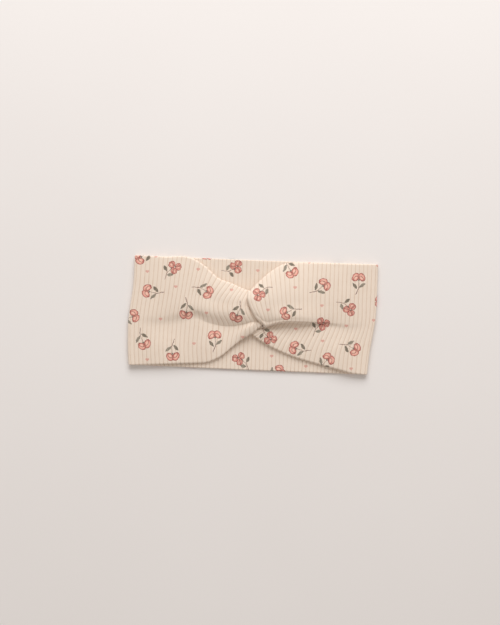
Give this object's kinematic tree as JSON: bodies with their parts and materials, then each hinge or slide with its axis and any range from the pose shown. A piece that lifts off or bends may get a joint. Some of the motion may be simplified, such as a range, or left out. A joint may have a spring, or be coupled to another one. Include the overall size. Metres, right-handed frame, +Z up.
{
  "type": "knotted headband",
  "caption": "Soft child's headband of printed rib jersey: a doubled band closed into a loop by a twist knot at the front, lying flat and opening into a ring.",
  "frame": {"origin": "middle of the flattened loop, on the face that it lies on", "axes": "+X along the band, from the left side fold to the right one; +Y across the band; +Z up from the rear panel to the knot"},
  "size_m": [0.1882, 0.084, 0.0116],
  "materials": {
    "jersey_outer": "fine rib knit, cream with a small pink and green flower print",
    "jersey_lining": "fine rib knit, the same printed cloth turned to the inside of the loop",
    "seam_thread": "matte polyester sewing thread, cream"
  },
  "bodies": {
    "rear": {"rear_outer": "jersey_outer", "rear_lining": "jersey_lining", "rear_closing_stitches": "seam_thread"},
    "rear_left": {"rear_left_outer": "jersey_outer", "rear_left_lining": "jersey_lining", "rear_left_closing_stitches": "seam_thread", "left_side_fold": "jersey_outer"},
    "rear_right": {"rear_right_outer": "jersey_outer", "rear_right_lining": "jersey_lining", "rear_right_closing_stitches": "seam_thread"},
    "right_fold": {"right_side_fold": "jersey_outer"},
    "front_left": {"front_left_outer": "jersey_outer", "front_left_lining": "jersey_lining", "front_left_closing_stitches": "seam_thread"},
    "front_right": {"front_right_outer": "jersey_outer", "front_right_lining": "jersey_lining", "front_right_closing_stitches": "seam_thread"},
    "knot": {"knot_left_over_lobe": "jersey_outer", "knot_left_under_lobe": "jersey_outer", "knot_right_over_lobe": "jersey_outer", "knot_right_under_lobe": "jersey_outer", "knot_seam_allowance": "jersey_lining", "knot_seam_stitches": "seam_thread", "knot_overlock_threads": "seam_thread"}
  },
  "joints": [
    {"name": "loop_opening", "type": "hinge", "parent": "rear", "child": "rear_left", "pos_m": [-0.03, 0, 0.0016], "axis": [0.0489, 0.9988, 0], "range_deg": [0, 60]},
    {"name": "left_fold", "type": "hinge", "parent": "rear_left", "child": "front_left", "pos_m": [-0.09019, 0, 0.0019], "axis": [-0.0489, -0.9988, 0], "range_deg": [0, 120], "deforming": ["left_side_fold"]},
    {"name": "knot_left_bend", "type": "hinge", "parent": "front_left", "child": "knot", "pos_m": [-0.03, 0, 0.0022], "axis": [0.0489, 0.9988, 0], "range_deg": [0, 60]},
    {"name": "knot_right_bend", "type": "hinge", "parent": "knot", "child": "front_right", "pos_m": [0.03, 0, 0.0022], "axis": [0.0489, 0.9988, 0], "range_deg": [0, 60]},
    {"name": "right_rear_bend", "type": "hinge", "parent": "rear", "child": "rear_right", "pos_m": [0.03, 0, 0.0016], "axis": [-0.0489, -0.9988, 0], "range_deg": [0, 60]},
    {"name": "right_fold", "type": "hinge", "parent": "rear_right", "child": "right_fold", "pos_m": [0.09019, 0, 0.0019], "axis": [0.0489, 0.9988, 0], "range_deg": [0, 120], "deforming": ["right_side_fold"]}
  ],
  "couplings": [
    {"joint": "left_fold", "follows": "loop_opening", "ratio": 2},
    {"joint": "knot_left_bend", "follows": "loop_opening", "ratio": 1},
    {"joint": "knot_right_bend", "follows": "loop_opening", "ratio": 1},
    {"joint": "right_rear_bend", "follows": "loop_opening", "ratio": 1},
    {"joint": "right_fold", "follows": "loop_opening", "ratio": 2}
  ]
}
